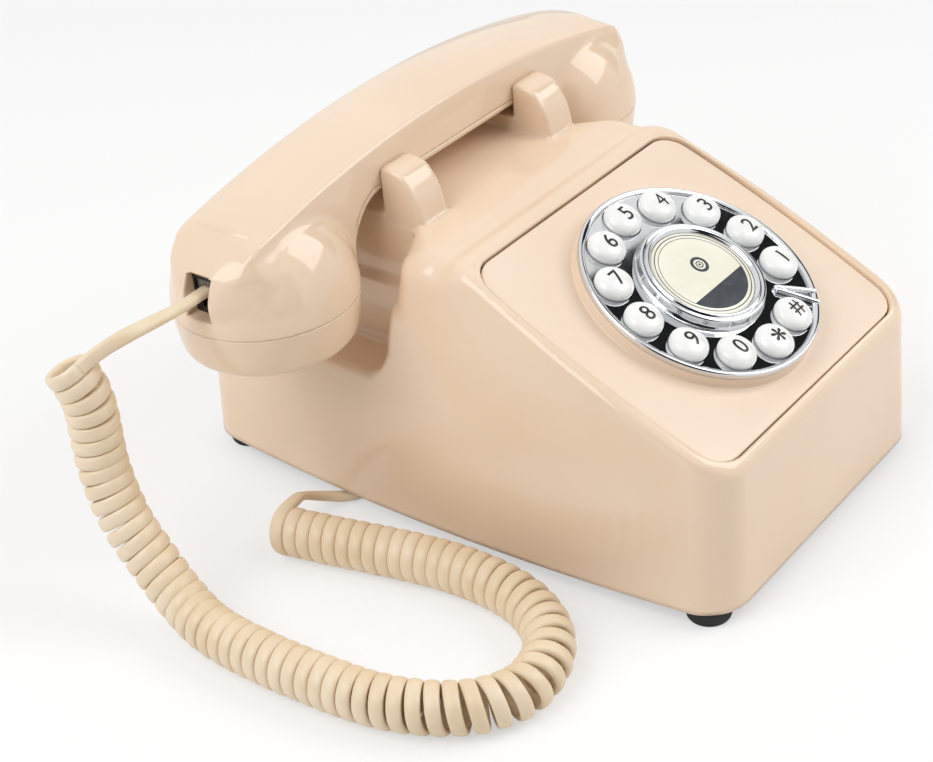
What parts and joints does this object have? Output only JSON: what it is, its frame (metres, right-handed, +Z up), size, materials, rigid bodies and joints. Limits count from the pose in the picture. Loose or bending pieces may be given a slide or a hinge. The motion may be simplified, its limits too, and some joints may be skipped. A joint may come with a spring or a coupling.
{
  "type": "corded landline phone",
  "caption": "Retro corded desk telephone with wedge body, horned cradle, lift-off handset, round push-button dial with chrome plate, and a curly handset cord",
  "frame": {"origin": "middle of the phone's footprint on the desk, at the feet's lowest face, measured without the cord", "axes": "+X along the resting handset towards the user's right, +Y from the front edge to the back wall, +Z up"},
  "size_m": [0.241, 0.195, 0.1175],
  "materials": {
    "housing_abs": "glossy moulded ABS, cream beige",
    "black_abs": "matt black moulded ABS",
    "chrome_trim": "chrome-plated plastic, polished",
    "badge_card": "printed disc under clear plastic",
    "key_plastic": "glossy moulded plastic with a printed figure",
    "white_plastic": "satin moulded plastic",
    "grey_rubber": "moulded silicone",
    "circuit_board": "solder-masked board",
    "zinc_screw": "zinc plated",
    "steel_weight": "plain steel",
    "clear_plastic": "clear moulded polycarbonate",
    "black_rubber": "moulded rubber",
    "cord_vinyl": "satin extruded vinyl"
  },
  "bodies": {
    "base": {"top_housing": "housing_abs", "base_plate": "black_abs", "front_panel": "housing_abs", "dial_rim": "chrome_trim", "dial_plate": "chrome_trim", "centre_ring": "chrome_trim", "centre_badge": "badge_card", "finger_stop": "chrome_trim", "keypad_membrane": "grey_rubber", "keypad_board": "circuit_board", "keypad_screws": "zinc_screw", "main_board": "circuit_board", "ringer_speaker": "black_abs", "ballast_weight": "steel_weight", "hook_spring": "zinc_screw", "hook_switch": "black_abs", "line_jack": "black_abs", "base_jack": "black_abs", "base_plug": "clear_plastic", "ringer_switch": "black_abs", "rubber_feet": "black_rubber", "base_screws": "zinc_screw", "curly_cord": "cord_vinyl", "base_lead": "cord_vinyl"},
    "handset": {"handset_shell": "housing_abs", "handset_cover": "housing_abs", "earpiece_cap": "housing_abs", "mouthpiece_cap": "housing_abs", "receiver_capsule": "steel_weight", "microphone_capsule": "steel_weight", "handset_weight": "steel_weight", "handset_jack": "black_abs", "handset_plug": "clear_plastic", "handset_screws": "zinc_screw", "handset_lead": "cord_vinyl"},
    "hook": {"hook_bar": "white_plastic"},
    "ringer": {"ringer_slider": "white_plastic"},
    "key_1": {"key_1": "key_plastic"},
    "key_2": {"key_2": "key_plastic"},
    "key_3": {"key_3": "key_plastic"},
    "key_4": {"key_4": "key_plastic"},
    "key_5": {"key_5": "key_plastic"},
    "key_6": {"key_6": "key_plastic"},
    "key_7": {"key_7": "key_plastic"},
    "key_8": {"key_8": "key_plastic"},
    "key_9": {"key_9": "key_plastic"},
    "key_0": {"key_0": "key_plastic"},
    "key_star": {"key_star": "key_plastic"},
    "key_hash": {"key_hash": "key_plastic"}
  },
  "joints": [
    {"name": "handset_lift", "type": "slide", "parent": "base", "child": "handset", "axis": [0, 0, 1], "range_m": [0, 0.06]},
    {"name": "hook_rise", "type": "slide", "parent": "base", "child": "hook", "axis": [0, 0, 1], "range_m": [0, 0.004], "stiffness_N_per_m": 60, "springref_m": 0.009},
    {"name": "ringer_slide", "type": "slide", "parent": "base", "child": "ringer", "axis": [1, 0, 0], "range_m": [-0.003, 0.003]},
    {"name": "press_1", "type": "slide", "parent": "base", "child": "key_1", "axis": [0, 0.4258, -0.9048], "range_m": [0, 0.0015], "stiffness_N_per_m": 500},
    {"name": "press_2", "type": "slide", "parent": "base", "child": "key_2", "axis": [0, 0.4258, -0.9048], "range_m": [0, 0.0015], "stiffness_N_per_m": 500},
    {"name": "press_3", "type": "slide", "parent": "base", "child": "key_3", "axis": [0, 0.4258, -0.9048], "range_m": [0, 0.0015], "stiffness_N_per_m": 500},
    {"name": "press_4", "type": "slide", "parent": "base", "child": "key_4", "axis": [0, 0.4258, -0.9048], "range_m": [0, 0.0015], "stiffness_N_per_m": 500},
    {"name": "press_5", "type": "slide", "parent": "base", "child": "key_5", "axis": [0, 0.4258, -0.9048], "range_m": [0, 0.0015], "stiffness_N_per_m": 500},
    {"name": "press_6", "type": "slide", "parent": "base", "child": "key_6", "axis": [0, 0.4258, -0.9048], "range_m": [0, 0.0015], "stiffness_N_per_m": 500},
    {"name": "press_7", "type": "slide", "parent": "base", "child": "key_7", "axis": [0, 0.4258, -0.9048], "range_m": [0, 0.0015], "stiffness_N_per_m": 500},
    {"name": "press_8", "type": "slide", "parent": "base", "child": "key_8", "axis": [0, 0.4258, -0.9048], "range_m": [0, 0.0015], "stiffness_N_per_m": 500},
    {"name": "press_9", "type": "slide", "parent": "base", "child": "key_9", "axis": [0, 0.4258, -0.9048], "range_m": [0, 0.0015], "stiffness_N_per_m": 500},
    {"name": "press_0", "type": "slide", "parent": "base", "child": "key_0", "axis": [0, 0.4258, -0.9048], "range_m": [0, 0.0015], "stiffness_N_per_m": 500},
    {"name": "press_star", "type": "slide", "parent": "base", "child": "key_star", "axis": [0, 0.4258, -0.9048], "range_m": [0, 0.0015], "stiffness_N_per_m": 500},
    {"name": "press_hash", "type": "slide", "parent": "base", "child": "key_hash", "axis": [0, 0.4258, -0.9048], "range_m": [0, 0.0015], "stiffness_N_per_m": 500}
  ],
  "couplings": [
    {"joint": "hook_rise", "follows": "handset_lift", "ratio": 0.0666}
  ]
}
